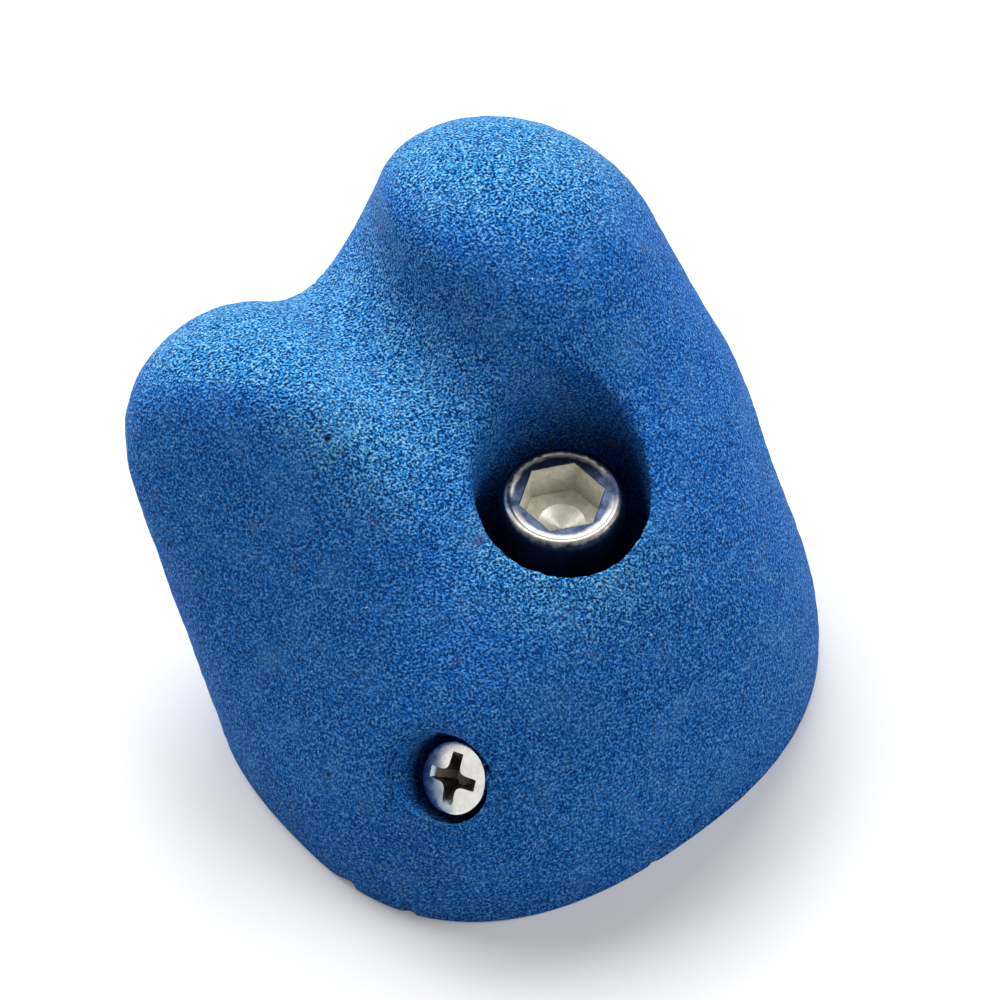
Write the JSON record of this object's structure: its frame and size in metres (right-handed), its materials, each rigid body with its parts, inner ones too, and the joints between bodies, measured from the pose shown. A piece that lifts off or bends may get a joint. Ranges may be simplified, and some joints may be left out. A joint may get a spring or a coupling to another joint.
{
  "type": "climbing hold",
  "caption": "Small cast resin climbing hold with two rounded knuckles and a finger groove, its socket head wall bolt, cast-in steel seat ring and leaning set screw.",
  "frame": {"origin": "where the wall bolt's axis crosses the flat back of the hold, the plane that meets the wall or the floor", "axes": "+Z out of the wall along the wall bolt, +Y towards the two knuckles (up on a wall), +X to the right knuckle"},
  "size_m": [0.0825, 0.0836, 0.0667],
  "materials": {
    "blue_resin": "gritty matte cast resin",
    "plain_steel": "plain rolled steel",
    "bolt_zinc": "bright zinc plate",
    "screw_zinc": "bright zinc plate, lightly worn"
  },
  "bodies": {
    "hold": {"hold_body": "blue_resin", "bolt_seat_ring": "plain_steel"},
    "bolt": {"wall_bolt": "bolt_zinc"},
    "screw": {"set_screw": "screw_zinc"}
  },
  "joints": [
    {"name": "bolt_slide", "type": "slide", "parent": "hold", "child": "bolt", "axis": [0, 0, 1], "range_m": [-0.0219, 0.0076]},
    {"name": "screw_slide", "type": "slide", "parent": "hold", "child": "screw", "axis": [-0.7314, 0, 0.682], "range_m": [-0.015, 0.01]}
  ]
}
